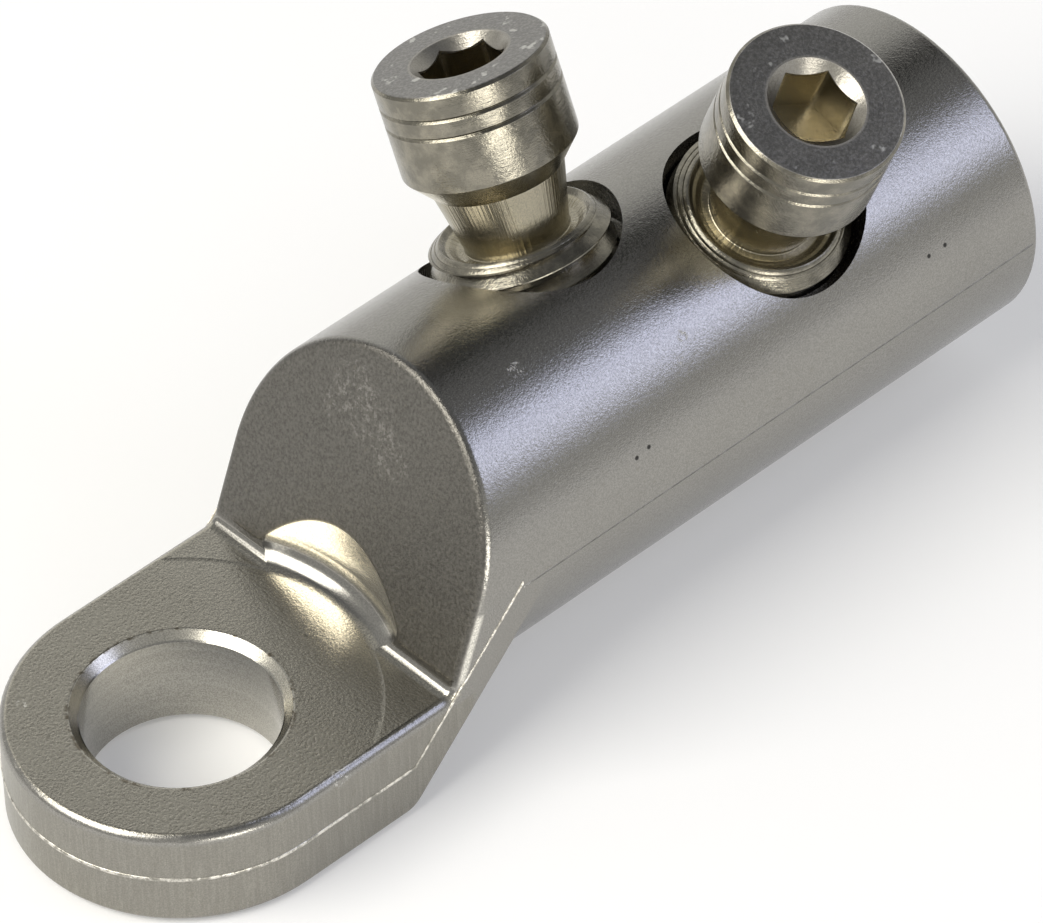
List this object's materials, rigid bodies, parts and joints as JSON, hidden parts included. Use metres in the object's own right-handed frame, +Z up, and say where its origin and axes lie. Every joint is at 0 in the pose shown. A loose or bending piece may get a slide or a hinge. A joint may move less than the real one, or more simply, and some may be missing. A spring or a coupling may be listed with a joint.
{
  "type": "shear bolt cable lug",
  "caption": "One-piece tinned aluminium lug: round palm with a stud hole, steep scalloped shoulder and a barrel bored for a conductor, clamped by shear-head bolts that lean to either side",
  "frame": {"origin": "centre of the stud hole, on the palm's underside", "axes": "+X along the barrel from the palm to the mouth where the conductor enters, +Z up, away from what the palm is bolted to, +Y to the side that the bolt nearer the palm leans to"},
  "size_m": [0.08, 0.03, 0.0391],
  "materials": {
    "tinned_aluminium": "satin tin plating",
    "tinned_brass": "bright tin plating over brass"
  },
  "bodies": {
    "lug": {"cable_lug": "tinned_aluminium"},
    "bolt_1": {"shear_bolt_1": "tinned_brass"},
    "bolt_2": {"shear_bolt_2": "tinned_brass"}
  },
  "joints": [
    {"name": "bolt_1_feed", "type": "slide", "parent": "lug", "child": "bolt_1", "axis": [0, 0.3827, 0.9239], "range_m": [-0.004, 0.004]},
    {"name": "bolt_2_feed", "type": "slide", "parent": "lug", "child": "bolt_2", "axis": [0, -0.3827, 0.9239], "range_m": [-0.00255, 0.00545]}
  ]
}
